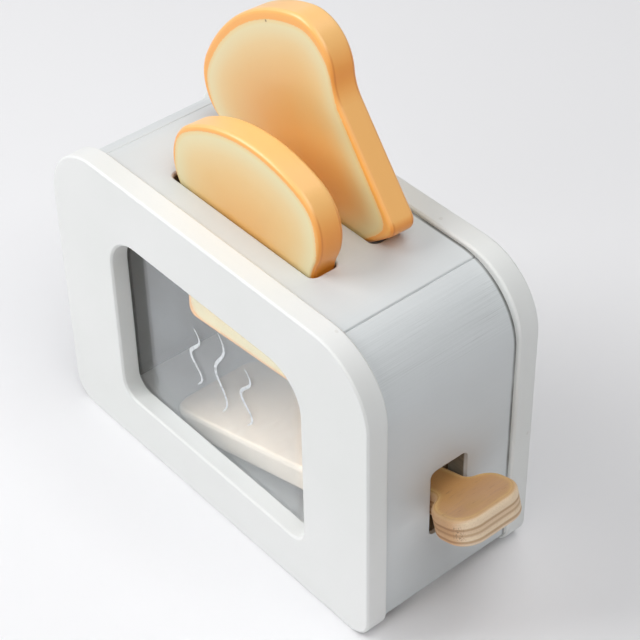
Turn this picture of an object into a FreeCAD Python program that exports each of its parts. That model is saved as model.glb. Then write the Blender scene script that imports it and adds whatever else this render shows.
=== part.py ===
"""Wooden toy toaster: boxed case with a window, see-saw lever and two bread slices.

Millimetres. +X points to the lever's knob, -Y to the window, +Z up; z = 0 is the table.
"""
import FreeCAD
import Part
import Sketcher
import math
import os

# Driving sizes. Heights are above the table and x positions are from the case's middle.
SIZES = {
    # panels
    "panel_width": 193,
    "panel_height": 140,
    "panel_thickness": 10,
    "panel_top_radius": 30,
    "panel_bottom_radius": 11,
    "panel_edge_bevel": 0.8,
    "case_depth": 85,
    # window and pane
    "window_width": 117.4,
    "window_bottom": 24.8,
    "window_top": 111.4,
    "window_top_radius": 17.5,
    "window_bottom_radius": 8,
    "pane_thickness": 2,
    "pane_border": 4,
    "pane_gap": 0.15,
    # boards between the panels
    "board_thickness": 10,
    "board_inset": 2,
    "board_corner_radius": 31,
    "board_bottom": 7.4,
    "seam_position": 71.3,
    "seam_bevel": 0.5,
    # slots in the top board
    "slot_length": 85,
    "slot_width": 13.2,
    "slot_spacing": 30,
    "slot_corner_radius": 3,
    "slot_edge_bevel": 0.6,
    # lever hole in the right side board
    "hole_width": 19,
    "hole_bottom": 35.5,
    "hole_top": 69.5,
    "hole_corner_radius": 3,
    # lever board: lengths along the board run from its pivot
    "lever_thickness": 12,
    "lever_tilt": 17.5,
    "lever_edge_round": 2.2,
    "platform_reach": 127.6,
    "platform_width": 48.5,
    "platform_radius": 10,
    "platform_heel": 8,
    "neck_width": 16.4,
    "neck_fillet": 4,
    "knob_start": 28.2,
    "knob_end": 51.8,
    "knob_width": 34.2,
    "knob_radius": 10,
    # pivot rod and its two spacers
    "pivot_position": 71.7,
    "pivot_height": 44.2,
    "rod_diameter": 6,
    "rod_bore_depth": 6,
    "rod_end_gap": 0.2,
    "running_gap": 0.05,
    "spacer_diameter": 12,
    "spacer_gap": 0.3,
    # dowels between the panels and the boards
    "dowel_diameter": 6,
    "dowel_in_panel": 6,
    "dowel_in_board": 18,
    "dowel_end_gap": 0.2,
    "top_dowel_position": 58,
    "side_dowel_height": 82,
    # bread slices
    "slice_thickness": 12,
    "slice_height": 97,
    "slice_shoulder_width": 87.4,
    "slice_waist_width": 76.6,
    "slice_base_width": 79,
    "crown_radius": 72,
    "shoulder_radius": 20,
    "waist_radius": 20,
    "slice_corner_radius": 5,
    "slice_edge_round": 2,
    # how the slices stand in their slots
    "front_slice_tilt": 4.7,
    "front_slice_lean": 3,
    "front_slice_position": 7.2,
    "front_slice_height": 78.7,
    "back_slice_tilt": 38.8,
    "back_slice_lean": 2.9,
    "back_slice_position": 21.7,
    "back_slice_height": 121.9,
}

doc = FreeCAD.newDocument("ToyToaster")
sheet = doc.addObject("Spreadsheet::Sheet", "Sizes")
for row, (size_name, size_value) in enumerate(SIZES.items(), start=1):
    sheet.set(f"A{row}", size_name)
    sheet.set(f"B{row}", str(size_value))
    sheet.setAlias(f"B{row}", size_name)
doc.recompute()

# Expressions used in more than one place.
HALF_CASE = "Sizes.case_depth / 2"
BOARD_DEPTH = "(Sizes.case_depth - 2 * Sizes.panel_thickness)"
BOARD_OUTER = "(Sizes.panel_width / 2 - Sizes.board_inset)"
BOARD_TOP = "(Sizes.panel_height - Sizes.board_inset)"
BORE_DIAMETER = "(Sizes.rod_diameter + 2 * Sizes.running_gap)"
DOWEL_HOLE_DIAMETER = "(Sizes.dowel_diameter + 2 * Sizes.running_gap)"


def number(expression):
    """Value of an expression over the sheet's sizes."""
    return float(sheet.evalExpression(str(expression)))


# ---------------------------------------------------------------- sketch tools
def body(label):
    """New body for one piece; its object name and label are the piece's name."""
    made = doc.addObject("PartDesign::Body", label)
    made.Label = label
    return made


def sketch_on(owner, name, plane="XZ_Plane", offset=None):
    """Sketch on one of the body's origin planes, moved along its normal by an expression."""
    sketch = owner.newObject("Sketcher::SketchObject", name)
    support = [item for item in owner.Origin.OriginFeatures if item.Role == plane][0]
    sketch.AttachmentSupport = (support, [""])
    sketch.MapMode = "FlatFace"
    if offset is not None:
        sketch.setExpression("AttachmentOffset.Base.z", offset)
    return sketch


def bind(sketch, kind, *where, size):
    """Add one constraint whose value follows an expression over the sheet."""
    index = sketch.addConstraint(Sketcher.Constraint(kind, *where, number(size)))
    name = f"{kind}{index}"
    sketch.renameConstraint(index, name)
    sketch.setExpression(f"Constraints.{name}", size)


def place_point(sketch, geometry, point, x_size, y_size):
    """Fix a point's two coordinates; a size of None leaves that direction free."""
    if x_size == "0":
        sketch.addConstraint(Sketcher.Constraint("PointOnObject", geometry, point, -2))
    elif x_size is not None:
        bind(sketch, "DistanceX", -1, 1, geometry, point, size=x_size)
    if y_size == "0":
        sketch.addConstraint(Sketcher.Constraint("PointOnObject", geometry, point, -1))
    elif y_size is not None:
        bind(sketch, "DistanceY", -1, 1, geometry, point, size=y_size)


def corner(x, y):
    """Sharp corner of an outline."""
    return {"x": x, "y": y, "radius": None, "turn": 0, "near": None, "touches_next": False}


def bend(x, y, radius, turn=1, near=None, touches_next=False):
    """Arc of an outline about the centre (x, y).

    turn is 1 where the outline bulges and -1 where it is hollow. A coordinate of None is
    found by tangency from its starting value in near. An arc that touches the next one
    needs no line between them.
    """
    return {"x": x, "y": y, "radius": radius, "turn": turn, "near": near,
            "touches_next": touches_next}


def centre_of(item):
    """Centre of an arc or place of a corner, as a vector in the sketch."""
    near = item["near"] or (0, 0)
    x = near[0] if item["x"] is None else number(item["x"])
    y = near[1] if item["y"] is None else number(item["y"])
    return FreeCAD.Vector(x, y, 0)


def signed_radius(item):
    """Radius, negative for a hollow arc and 0 for a sharp corner."""
    return 0.0 if item["radius"] is None else item["turn"] * number(item["radius"])


def joint_points(first, second):
    """Points where the outline leaves the first item and reaches the second."""
    start = centre_of(first)
    across = centre_of(second) - start
    first_radius = signed_radius(first)
    second_radius = signed_radius(second)
    if first["touches_next"]:
        touch = start + across * (first_radius / (first_radius - second_radius))
        return touch, touch
    ahead = FreeCAD.Vector(across).normalize()
    share = (second_radius - first_radius) / across.Length
    left = FreeCAD.Vector(-ahead.y, ahead.x, 0)
    normal = ahead * share + left * math.sqrt(1 - share * share)
    return start - normal * first_radius, centre_of(second) - normal * second_radius


def draw_outline(sketch, items):
    """Closed outline, counter-clockwise, of corners and arcs joined by tangent lines."""
    count = len(items)
    joints = [joint_points(items[i], items[(i + 1) % count]) for i in range(count)]
    arcs = []
    for i, item in enumerate(items):
        if item["radius"] is None:
            arcs.append(None)
            continue
        middle = centre_of(item)
        arrive = joints[i - 1][1] - middle
        leave = joints[i][0] - middle
        if item["turn"] < 0:
            arrive, leave = leave, arrive
        circle = Part.Circle(middle, FreeCAD.Vector(0, 0, 1), number(item["radius"]))
        start_angle = math.atan2(arrive.y, arrive.x)
        end_angle = math.atan2(leave.y, leave.x)
        arcs.append(sketch.addGeometry(Part.ArcOfCircle(circle, start_angle, end_angle)))
    lines = []
    for i, item in enumerate(items):
        if item["touches_next"]:
            lines.append(None)
        else:
            lines.append(sketch.addGeometry(Part.LineSegment(*joints[i])))
    for i, item in enumerate(items):
        follower = (i + 1) % count
        leaving = (arcs[i], 2 if item["turn"] > 0 else 1)
        arriving = (arcs[follower], 1 if items[follower]["turn"] > 0 else 2)
        if lines[i] is None:
            sketch.addConstraint(Sketcher.Constraint("Tangent", *leaving, *arriving))
            continue
        if arcs[i] is not None:
            sketch.addConstraint(Sketcher.Constraint("Tangent", *leaving, lines[i], 1))
        if arcs[follower] is not None:
            sketch.addConstraint(Sketcher.Constraint("Tangent", lines[i], 2, *arriving))
        else:
            meeting = (lines[i], 2, lines[follower], 1)
            sketch.addConstraint(Sketcher.Constraint("Coincident", *meeting))
    for i, item in enumerate(items):
        if arcs[i] is None:
            place_point(sketch, lines[i], 1, item["x"], item["y"])
        else:
            place_point(sketch, arcs[i], 3, item["x"], item["y"])
            bind(sketch, "Radius", arcs[i], size=item["radius"])


def reflected(items, direction):
    """The items with direction ("x" or "y") negated, listed backwards to stay counter-clockwise."""
    result = []
    for index in range(len(items) - 1, -1, -1):
        item = dict(items[index])
        if item[direction] is not None:
            item[direction] = f"-({item[direction]})"
        if item["near"] is not None:
            near_x, near_y = item["near"]
            item["near"] = (-near_x, near_y) if direction == "x" else (near_x, -near_y)
        item["touches_next"] = index > 0 and items[index - 1]["touches_next"]
        result.append(item)
    return result


def rounded_rectangle(sketch, width, low, high, low_radius, high_radius, middle="0"):
    """Rectangle from height low to high, width wide about middle, with rounded corners."""
    left = f"({middle}) - ({width}) / 2"
    right = f"({middle}) + ({width}) / 2"
    draw_outline(sketch, [
        bend(f"{left} + {low_radius}", f"{low} + {low_radius}", low_radius),
        bend(f"{right} - {low_radius}", f"{low} + {low_radius}", low_radius),
        bend(f"{right} - {high_radius}", f"{high} - {high_radius}", high_radius),
        bend(f"{left} + {high_radius}", f"{high} - {high_radius}", high_radius),
    ])


def draw_circle(sketch, x, y, diameter):
    """Circle with its centre and diameter bound to the sheet."""
    centre = FreeCAD.Vector(number(x), number(y), 0)
    up = FreeCAD.Vector(0, 0, 1)
    circle = sketch.addGeometry(Part.Circle(centre, up, number(diameter) / 2))
    place_point(sketch, circle, 3, x, y)
    bind(sketch, "Diameter", circle, size=diameter)


# ---------------------------------------------------------------- feature tools
def pad(owner, sketch, name, length, midplane=False, reverse=False):
    """Pad a sketch by an expression, checking that it made a solid."""
    feature = owner.newObject("PartDesign::Pad", name)
    feature.Profile = sketch
    feature.Length = number(length)
    feature.setExpression("Length", length)
    feature.Midplane = midplane
    feature.Reversed = reverse
    owner.Tip = feature
    doc.recompute()
    sketch.Visibility = False
    if feature.Shape.isNull() or feature.Shape.Volume <= 0:
        raise RuntimeError(f"{name} made no solid")
    return feature


def pocket(owner, sketch, name, depth=None, midplane=False, reverse=False):
    """Cut a sketch to a depth, or through all, checking that it took material away."""
    before = owner.Shape.Volume
    feature = owner.newObject("PartDesign::Pocket", name)
    feature.Profile = sketch
    if depth is None:
        feature.Type = "ThroughAll"
    else:
        feature.Length = number(depth)
        feature.setExpression("Length", depth)
    feature.Midplane = midplane
    feature.Reversed = reverse
    owner.Tip = feature
    doc.recompute()
    sketch.Visibility = False
    if feature.Shape.isNull() or feature.Shape.Volume >= before - 1:
        raise RuntimeError(f"{name} cut nothing")
    return feature


def bevel(owner, name, size, chosen):
    """Chamfer the edges for which chosen(edge) is true."""
    base = owner.Tip
    names = [f"Edge{i}" for i, edge in enumerate(base.Shape.Edges, start=1) if chosen(edge)]
    if not names:
        raise RuntimeError(f"{name} found no edges")
    feature = owner.newObject("PartDesign::Chamfer", name)
    feature.Base = (base, names)
    feature.Size = number(size)
    feature.setExpression("Size", size)
    owner.Tip = feature
    doc.recompute()
    if feature.Shape.isNull() or not feature.Shape.isValid():
        raise RuntimeError(f"{name} failed")
    return feature


def soften(owner, name, rounding, axis, face):
    """Round the rims of a flat piece, in the planes axis = +face and axis = -face.

    Each rim gets a chamfer that touches a quarter circle of radius rounding, then both
    edges of that chamfer get a smaller one, so the rim has three narrow facets.
    """
    first_cut = f"({rounding}) * (2 - sqrt(2))"
    bevel(owner, f"{name}_first", first_cut,
          lambda edge: lies_in(edge, axis, face) or lies_in(edge, axis, -face))
    foot = face - number(first_cut)
    levels = (face, -face, foot, -foot)
    second_cut = f"({rounding}) * (tan(22.5) - tan(11.25))"
    bevel(owner, f"{name}_second", second_cut,
          lambda edge: any(lies_in(edge, axis, level) for level in levels))


def lies_in(edge, axis, level, tolerance=0.01):
    """True when the whole edge lies in the plane axis = level (axis 0, 1 or 2)."""
    first, last = edge.ParameterRange
    samples = [edge.valueAt(first + (last - first) * share) for share in (0, 0.37, 1)]
    return all(abs(sample[axis] - level) < tolerance for sample in samples)


def within(edge, half_width, low, high):
    """True when the edge's box lies inside |x| < half_width and low < z < high."""
    box = edge.BoundBox
    inside = max(abs(box.XMin), abs(box.XMax)) < half_width
    return inside and box.ZMin > low and box.ZMax < high


# ---------------------------------------------------------------- positions
def knob_tip():
    """x of the knob's outermost point, from the case's middle."""
    tilt = math.radians(number("Sizes.lever_tilt"))
    rounding = number("Sizes.lever_edge_round")
    along = number("Sizes.knob_end") - rounding
    below = number("Sizes.lever_thickness") / 2 - rounding
    reach = along * math.cos(tilt) + below * math.sin(tilt) + rounding
    return number("Sizes.pivot_position") + reach


# The origin is the bottom centre of the whole toy, so the case stands left of it.
CASE_X = (number("Sizes.panel_width / 2") - knob_tip()) / 2


def place(piece, x=0.0, y=0.0, z=0.0, rotation=None):
    """Put a piece at a point given from the case's middle on the table."""
    turn = rotation or FreeCAD.Rotation()
    piece.Placement = FreeCAD.Placement(FreeCAD.Vector(CASE_X + x, y, z), turn)


# Dowels of one end: one in each side board and two in the top board.
BOARD_MIDDLE = f"({BOARD_OUTER} - Sizes.board_thickness / 2)"
SIDE_DOWEL = {side: (f"{side} * {BOARD_MIDDLE}", "Sizes.side_dowel_height") for side in (-1, 1)}
TOP_DOWELS = [(f"{side} * Sizes.top_dowel_position", f"({BOARD_TOP} - Sizes.board_thickness / 2)")
              for side in (-1, 1)]
DOWEL_PLACES = [SIDE_DOWEL[-1], *TOP_DOWELS, SIDE_DOWEL[1]]


# ---------------------------------------------------------------- panels
def make_panel(label, hand):
    """Upright panel with blind holes in its inner face for the rod and the dowels.

    Its outer face is at y = 0 and its inner face at y = panel_thickness. hand is 1 for
    the front panel and -1 for the back one, which is turned round to face outwards.
    """
    panel = body(label)
    outline = sketch_on(panel, f"{label}_outline")
    rounded_rectangle(outline, "Sizes.panel_width", "0", "Sizes.panel_height",
                      "Sizes.panel_bottom_radius", "Sizes.panel_top_radius")
    pad(panel, outline, f"{label}_board", "Sizes.panel_thickness", reverse=True)
    thickness = number("Sizes.panel_thickness")
    bevel(panel, f"{label}_soft_edges", "Sizes.panel_edge_bevel",
          lambda edge: lies_in(edge, 1, 0) or lies_in(edge, 1, thickness))
    bore = sketch_on(panel, f"{label}_rod_bore_place", offset="-Sizes.panel_thickness")
    draw_circle(bore, f"{hand} * Sizes.pivot_position", "Sizes.pivot_height", BORE_DIAMETER)
    pocket(panel, bore, f"{label}_rod_bore", "Sizes.rod_bore_depth", reverse=True)
    holes = sketch_on(panel, f"{label}_dowel_places", offset="-Sizes.panel_thickness")
    for x, z in DOWEL_PLACES:
        draw_circle(holes, x, z, DOWEL_HOLE_DIAMETER)
    pocket(panel, holes, f"{label}_dowel_holes", "Sizes.dowel_in_panel", reverse=True)
    return panel


front_panel = make_panel("front_panel", 1)
window = sketch_on(front_panel, "window_outline")
rounded_rectangle(window, "Sizes.window_width", "Sizes.window_bottom", "Sizes.window_top",
                  "Sizes.window_bottom_radius", "Sizes.window_top_radius")
pocket(front_panel, window, "window_opening", midplane=True)
rebate = sketch_on(front_panel, "rebate_outline", offset="-Sizes.panel_thickness")
rounded_rectangle(rebate, "Sizes.window_width + 2 * Sizes.pane_border",
                  "Sizes.window_bottom - Sizes.pane_border",
                  "Sizes.window_top + Sizes.pane_border",
                  "(Sizes.window_bottom_radius + Sizes.pane_border)",
                  "(Sizes.window_top_radius + Sizes.pane_border)")
pocket(front_panel, rebate, "pane_rebate", "Sizes.pane_thickness", reverse=True)
window_half = number("Sizes.window_width / 2") + 1
window_low = number("Sizes.window_bottom") - 1
window_high = number("Sizes.window_top") + 1
bevel(front_panel, "window_soft_edge", "Sizes.panel_edge_bevel",
      lambda edge: lies_in(edge, 1, 0) and within(edge, window_half, window_low, window_high))
place(front_panel, y=-number(HALF_CASE))

back_panel = make_panel("back_panel", -1)
half_turn = FreeCAD.Rotation(FreeCAD.Vector(0, 0, 1), 180)
place(back_panel, y=number(HALF_CASE), rotation=half_turn)

# ---------------------------------------------------------------- window pane
window_pane = body("window_pane")
pane_outline = sketch_on(window_pane, "pane_outline")
rounded_rectangle(pane_outline,
                  "Sizes.window_width + 2 * (Sizes.pane_border - Sizes.pane_gap)",
                  "(Sizes.window_bottom - Sizes.pane_border + Sizes.pane_gap)",
                  "(Sizes.window_top + Sizes.pane_border - Sizes.pane_gap)",
                  "(Sizes.window_bottom_radius + Sizes.pane_border - Sizes.pane_gap)",
                  "(Sizes.window_top_radius + Sizes.pane_border - Sizes.pane_gap)")
pad(window_pane, pane_outline, "pane_sheet", "Sizes.pane_thickness", reverse=True)
place(window_pane, y=number(f"Sizes.panel_thickness - Sizes.pane_thickness - {HALF_CASE}"))

# ---------------------------------------------------------------- boards between the panels
# The three boards form an arch. Its corners are two arcs about one centre, and the seams
# between the boards lie on those arcs with a small V-groove along the outside.
CORNER_X = f"({BOARD_OUTER} - Sizes.board_corner_radius)"
CORNER_Z = f"({BOARD_TOP} - Sizes.board_corner_radius)"
INNER_RADIUS = "(Sizes.board_corner_radius - Sizes.board_thickness)"
SEAM_RUN = f"(Sizes.seam_position - {CORNER_X})"
SEAM_OUTER = f"({CORNER_Z} + sqrt(Sizes.board_corner_radius ^ 2 - {SEAM_RUN} ^ 2))"


def cut_beyond(board, name, side, keep_inside):
    """Remove the arch on one side of a seam; side is 1 for the lever's side and -1 for the other."""
    knife = sketch_on(board, f"{name}_outline")
    seam = f"{side} * Sizes.seam_position"
    away = side if keep_inside else -side
    far = f"{away} * Sizes.panel_width"
    near_edge, far_edge = (seam, far) if away > 0 else (far, seam)
    draw_outline(knife, [
        corner(near_edge, "-Sizes.panel_height"),
        corner(far_edge, "-Sizes.panel_height"),
        corner(far_edge, "2 * Sizes.panel_height"),
        corner(near_edge, "2 * Sizes.panel_height"),
    ])
    pocket(board, knife, name, midplane=True)


def make_board(label, seams, keep_inside):
    """One board of the arch: the arch's section cut off at the seams it reaches."""
    board = body(label)
    section = sketch_on(board, f"{label}_arch")
    inner_face = f"({BOARD_OUTER} - Sizes.board_thickness)"
    draw_outline(section, [
        corner(BOARD_OUTER, "Sizes.board_bottom"),
        bend(CORNER_X, CORNER_Z, "Sizes.board_corner_radius"),
        bend(f"-{CORNER_X}", CORNER_Z, "Sizes.board_corner_radius"),
        corner(f"-{BOARD_OUTER}", "Sizes.board_bottom"),
        corner(f"-{inner_face}", "Sizes.board_bottom"),
        bend(f"-{CORNER_X}", CORNER_Z, INNER_RADIUS, turn=-1),
        bend(CORNER_X, CORNER_Z, INNER_RADIUS, turn=-1),
        corner(inner_face, "Sizes.board_bottom"),
    ])
    pad(board, section, f"{label}_length", BOARD_DEPTH, midplane=True)
    for side in seams:
        cut_beyond(board, f"{label}_seam_{'right' if side > 0 else 'left'}", side, keep_inside)
    seam_level = number(SEAM_OUTER) - number("Sizes.board_thickness / 2")
    places = [side * number("Sizes.seam_position") for side in seams]
    bevel(board, f"{label}_groove", "Sizes.seam_bevel",
          lambda edge: edge.BoundBox.ZMin > seam_level and any(lies_in(edge, 0, x) for x in places)
          and edge.BoundBox.YLength > edge.BoundBox.ZLength)
    return board


def drill_dowels(board, label, places):
    """Blind dowel holes in both ends of a board."""
    for end, offset, reverse in (("front", BOARD_DEPTH, False), ("back", f"-{BOARD_DEPTH}", True)):
        holes = sketch_on(board, f"{label}_{end}_dowel_places", offset=f"{offset} / 2")
        for x, z in places:
            draw_circle(holes, x, z, DOWEL_HOLE_DIAMETER)
        pocket(board, holes, f"{label}_{end}_dowel_holes", "Sizes.dowel_in_board", reverse=reverse)


top_board = make_board("top_board", (-1, 1), keep_inside=True)
drill_dowels(top_board, "top_board", TOP_DOWELS)
slots = sketch_on(top_board, "slot_outlines", plane="XY_Plane")
for slot_side in (-1, 1):
    slot_middle = f"{slot_side} * Sizes.slot_spacing / 2"
    rounded_rectangle(slots, "Sizes.slot_length",
                      f"({slot_middle} - Sizes.slot_width / 2)",
                      f"({slot_middle} + Sizes.slot_width / 2)",
                      "Sizes.slot_corner_radius", "Sizes.slot_corner_radius")
pocket(top_board, slots, "bread_slots", midplane=True)
top_level = number(BOARD_TOP)
slot_half = number("Sizes.slot_length / 2") + 0.5
bevel(top_board, "slot_soft_edges", "Sizes.slot_edge_bevel",
      lambda edge: within(edge, slot_half, top_level - 0.01, top_level + 0.01))
place(top_board)

left_side = make_board("left_side", (-1,), keep_inside=False)
drill_dowels(left_side, "left_side", [SIDE_DOWEL[-1]])
place(left_side)

right_side = make_board("right_side", (1,), keep_inside=False)
drill_dowels(right_side, "right_side", [SIDE_DOWEL[1]])
hole = sketch_on(right_side, "lever_hole_outline", plane="YZ_Plane")
rounded_rectangle(hole, "Sizes.hole_width", "Sizes.hole_bottom", "Sizes.hole_top",
                  "Sizes.hole_corner_radius", "Sizes.hole_corner_radius")
pocket(right_side, hole, "lever_hole", midplane=True)
place(right_side)

# ---------------------------------------------------------------- lever
# One plywood board: a wide platform inside the case, a neck through the hole and a knob
# outside. Its origin is the pivot's axis, so the placement tilts it about the rod.
lever_board = body("lever_board")
lever_plan = sketch_on(lever_board, "lever_plan", plane="XY_Plane")
knob_centre = FreeCAD.Vector(number("Sizes.knob_start + Sizes.knob_radius"),
                             number("Sizes.knob_radius - Sizes.knob_width / 2"), 0)
throat_y = number("-(Sizes.neck_width / 2 + Sizes.neck_fillet)")
throat_reach = number("Sizes.knob_radius + Sizes.neck_fillet")
throat_x = knob_centre.x - math.sqrt(throat_reach ** 2 - (throat_y - knob_centre.y) ** 2)
LEVER_EDGE = [
    bend("Sizes.platform_radius - Sizes.platform_reach",
         "Sizes.platform_radius - Sizes.platform_width / 2", "Sizes.platform_radius"),
    bend("Sizes.platform_heel - Sizes.neck_fillet",
         "Sizes.neck_fillet - Sizes.platform_width / 2", "Sizes.neck_fillet"),
    bend("Sizes.platform_heel + Sizes.neck_fillet",
         "-Sizes.neck_width / 2 - Sizes.neck_fillet", "Sizes.neck_fillet", turn=-1),
    bend(None, "-Sizes.neck_width / 2 - Sizes.neck_fillet", "Sizes.neck_fillet", turn=-1,
         near=(throat_x, throat_y), touches_next=True),
    bend("Sizes.knob_start + Sizes.knob_radius",
         "Sizes.knob_radius - Sizes.knob_width / 2", "Sizes.knob_radius"),
    bend("Sizes.knob_end - Sizes.knob_radius",
         "Sizes.knob_radius - Sizes.knob_width / 2", "Sizes.knob_radius"),
]
draw_outline(lever_plan, LEVER_EDGE + reflected(LEVER_EDGE, "y"))
pad(lever_board, lever_plan, "lever_plate", "Sizes.lever_thickness", midplane=True)
lever_face = number("Sizes.lever_thickness / 2")
soften(lever_board, "lever_rim", "Sizes.lever_edge_round", 2, lever_face)
lever_bore = sketch_on(lever_board, "lever_bore_place")
draw_circle(lever_bore, "0", "0", BORE_DIAMETER)
pocket(lever_board, lever_bore, "lever_bore", midplane=True)
lever_turn = FreeCAD.Rotation(FreeCAD.Vector(0, 1, 0), -number("Sizes.lever_tilt"))
place(lever_board, x=number("Sizes.pivot_position"), z=number("Sizes.pivot_height"),
      rotation=lever_turn)

# ---------------------------------------------------------------- pivot rod and spacers
pivot_rod = body("pivot_rod")
rod_end = sketch_on(pivot_rod, "rod_section")
draw_circle(rod_end, "0", "0", "Sizes.rod_diameter")
ROD_LENGTH = f"({BOARD_DEPTH} + 2 * (Sizes.rod_bore_depth - Sizes.rod_end_gap))"
pad(pivot_rod, rod_end, "rod", ROD_LENGTH, midplane=True)
place(pivot_rod, x=number("Sizes.pivot_position"), z=number("Sizes.pivot_height"))

SPACER_LENGTH = f"(({BOARD_DEPTH} - Sizes.platform_width) / 2 - Sizes.spacer_gap)"
for label, start in (("front_spacer", f"-{BOARD_DEPTH} / 2"),
                     ("back_spacer", f"{BOARD_DEPTH} / 2 - {SPACER_LENGTH}")):
    spacer = body(label)
    ring = sketch_on(spacer, f"{label}_ring")
    draw_circle(ring, "0", "0", "Sizes.spacer_diameter")
    draw_circle(ring, "0", "0", BORE_DIAMETER)
    pad(spacer, ring, f"{label}_sleeve", SPACER_LENGTH, reverse=True)
    place(spacer, x=number("Sizes.pivot_position"), y=number(start),
          z=number("Sizes.pivot_height"))

# ---------------------------------------------------------------- dowels
DOWEL_LENGTH = "(Sizes.dowel_in_panel + Sizes.dowel_in_board - 2 * Sizes.dowel_end_gap)"
panel_depth = "(Sizes.dowel_in_panel - Sizes.dowel_end_gap)"
board_depth = "(Sizes.dowel_in_board - Sizes.dowel_end_gap)"
for label, start in (("front_dowels", f"-{BOARD_DEPTH} / 2 - {panel_depth}"),
                     ("back_dowels", f"{BOARD_DEPTH} / 2 - {board_depth}")):
    dowels = body(label)
    ends = sketch_on(dowels, f"{label}_ends")
    for x, z in DOWEL_PLACES:
        draw_circle(ends, x, z, "Sizes.dowel_diameter")
    pad(dowels, ends, f"{label}_pins", DOWEL_LENGTH, reverse=True)
    place(dowels, y=number(start))

# ---------------------------------------------------------------- bread slices
SHOULDER_X = "(Sizes.slice_shoulder_width / 2 - Sizes.shoulder_radius)"
WAIST_X = "(Sizes.slice_waist_width / 2 + Sizes.waist_radius)"
crown_z = number("Sizes.slice_height - Sizes.crown_radius")
crown_to_shoulder = number("Sizes.crown_radius - Sizes.shoulder_radius")
shoulder_to_waist = number("Sizes.shoulder_radius + Sizes.waist_radius")
shoulder_x = number(SHOULDER_X)
waist_x = number(WAIST_X)
shoulder_z = crown_z + math.sqrt(crown_to_shoulder ** 2 - shoulder_x ** 2)
waist_z = shoulder_z - math.sqrt(shoulder_to_waist ** 2 - (waist_x - shoulder_x) ** 2)
SLICE_EDGE = [
    bend("Sizes.slice_base_width / 2 - Sizes.slice_corner_radius",
         "Sizes.slice_corner_radius", "Sizes.slice_corner_radius"),
    bend(WAIST_X, None, "Sizes.waist_radius", turn=-1, near=(waist_x, waist_z),
         touches_next=True),
    bend(SHOULDER_X, None, "Sizes.shoulder_radius", near=(shoulder_x, shoulder_z),
         touches_next=True),
]
CROWN = bend("0", "Sizes.slice_height - Sizes.crown_radius", "Sizes.crown_radius",
             touches_next=True)


def make_slice(label, slot_side):
    """Bread slice: bellied crown, shoulders, slight waist and soft edges all round.

    Its origin is the middle of its base. It is tilted in its own plane and then leans
    back about the middle of its slot.
    """
    bread = body(label)
    outline = sketch_on(bread, f"{label}_outline")
    draw_outline(outline, SLICE_EDGE + [CROWN] + reflected(SLICE_EDGE, "x"))
    pad(bread, outline, f"{label}_slab", "Sizes.slice_thickness", midplane=True)
    face = number("Sizes.slice_thickness / 2")
    soften(bread, f"{label}_rim", "Sizes.slice_edge_round", 1, face)
    tilt = number(f"Sizes.{label}_tilt")
    lean = number(f"Sizes.{label}_lean")
    height = number(f"Sizes.{label}_height")
    slot_height = number(f"{BOARD_TOP} - Sizes.board_thickness / 2")
    slot_y = slot_side * number("Sizes.slot_spacing") / 2
    leaning = FreeCAD.Rotation(FreeCAD.Vector(1, 0, 0), -lean)
    tilting = FreeCAD.Rotation(FreeCAD.Vector(0, 1, 0), -tilt)
    place(bread, x=number(f"Sizes.{label}_position"), z=height,
          y=slot_y - (slot_height - height) * math.tan(math.radians(lean)),
          rotation=leaning.multiply(tilting))
    return bread


make_slice("front_slice", -1)
make_slice("back_slice", 1)

# ---------------------------------------------------------------- check and write
doc.recompute()
for item in doc.Objects:
    if "Invalid" in item.State or "Error" in item.State:
        raise RuntimeError(f"{item.Label} did not rebuild: {item.State}")
os.makedirs("parts", exist_ok=True)
for piece in doc.Objects:
    if piece.TypeId != "PartDesign::Body":
        continue
    if piece.Shape.isNull() or not piece.Shape.isValid():
        raise RuntimeError(f"{piece.Label} has no valid shape")
    piece.Shape.exportStep(f"parts/{piece.Label}.step")
    box = piece.Shape.BoundBox
    print(f"{piece.Label}: x {box.XMin:.2f} to {box.XMax:.2f}, y {box.YMin:.2f} to {box.YMax:.2f}, "
          f"z {box.ZMin:.2f} to {box.ZMax:.2f}, volume {piece.Shape.Volume:.0f} mm3")
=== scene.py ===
# %% [markdown]
# # A wooden toy toaster
# This lesson dresses a finished model of a play toaster: two white panels, a grey arch
# of boards between them, a clear window, a plywood lever and two painted bread slices.
# The shapes are loaded as a fixed frame, so Blender adds the finishes, two small
# pieces, light and a camera.

# %% Load the frame
import bpy
import math
from mathutils import Matrix, Vector


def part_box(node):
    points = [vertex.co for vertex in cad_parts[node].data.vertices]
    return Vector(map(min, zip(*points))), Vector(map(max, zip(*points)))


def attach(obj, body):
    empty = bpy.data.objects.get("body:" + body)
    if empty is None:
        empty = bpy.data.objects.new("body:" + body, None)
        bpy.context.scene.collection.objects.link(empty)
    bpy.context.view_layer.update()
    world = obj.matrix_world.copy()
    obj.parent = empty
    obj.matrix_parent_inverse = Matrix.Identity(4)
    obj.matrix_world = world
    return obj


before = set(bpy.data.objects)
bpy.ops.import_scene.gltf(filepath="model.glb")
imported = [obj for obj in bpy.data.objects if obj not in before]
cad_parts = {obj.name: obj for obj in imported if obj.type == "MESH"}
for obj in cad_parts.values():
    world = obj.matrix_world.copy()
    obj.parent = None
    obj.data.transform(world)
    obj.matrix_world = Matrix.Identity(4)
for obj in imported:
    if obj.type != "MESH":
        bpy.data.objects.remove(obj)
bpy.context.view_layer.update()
print("nodes:", sorted(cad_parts))

# %% [markdown]
# ## Shader sums written as plain Python
# A material is a graph of nodes. Writing each link by hand hides the idea behind it, so
# one small class wraps a socket. Adding or multiplying two of them makes the Math node,
# and `node` makes any other node from its type, its settings and the values of its
# sockets.

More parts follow.
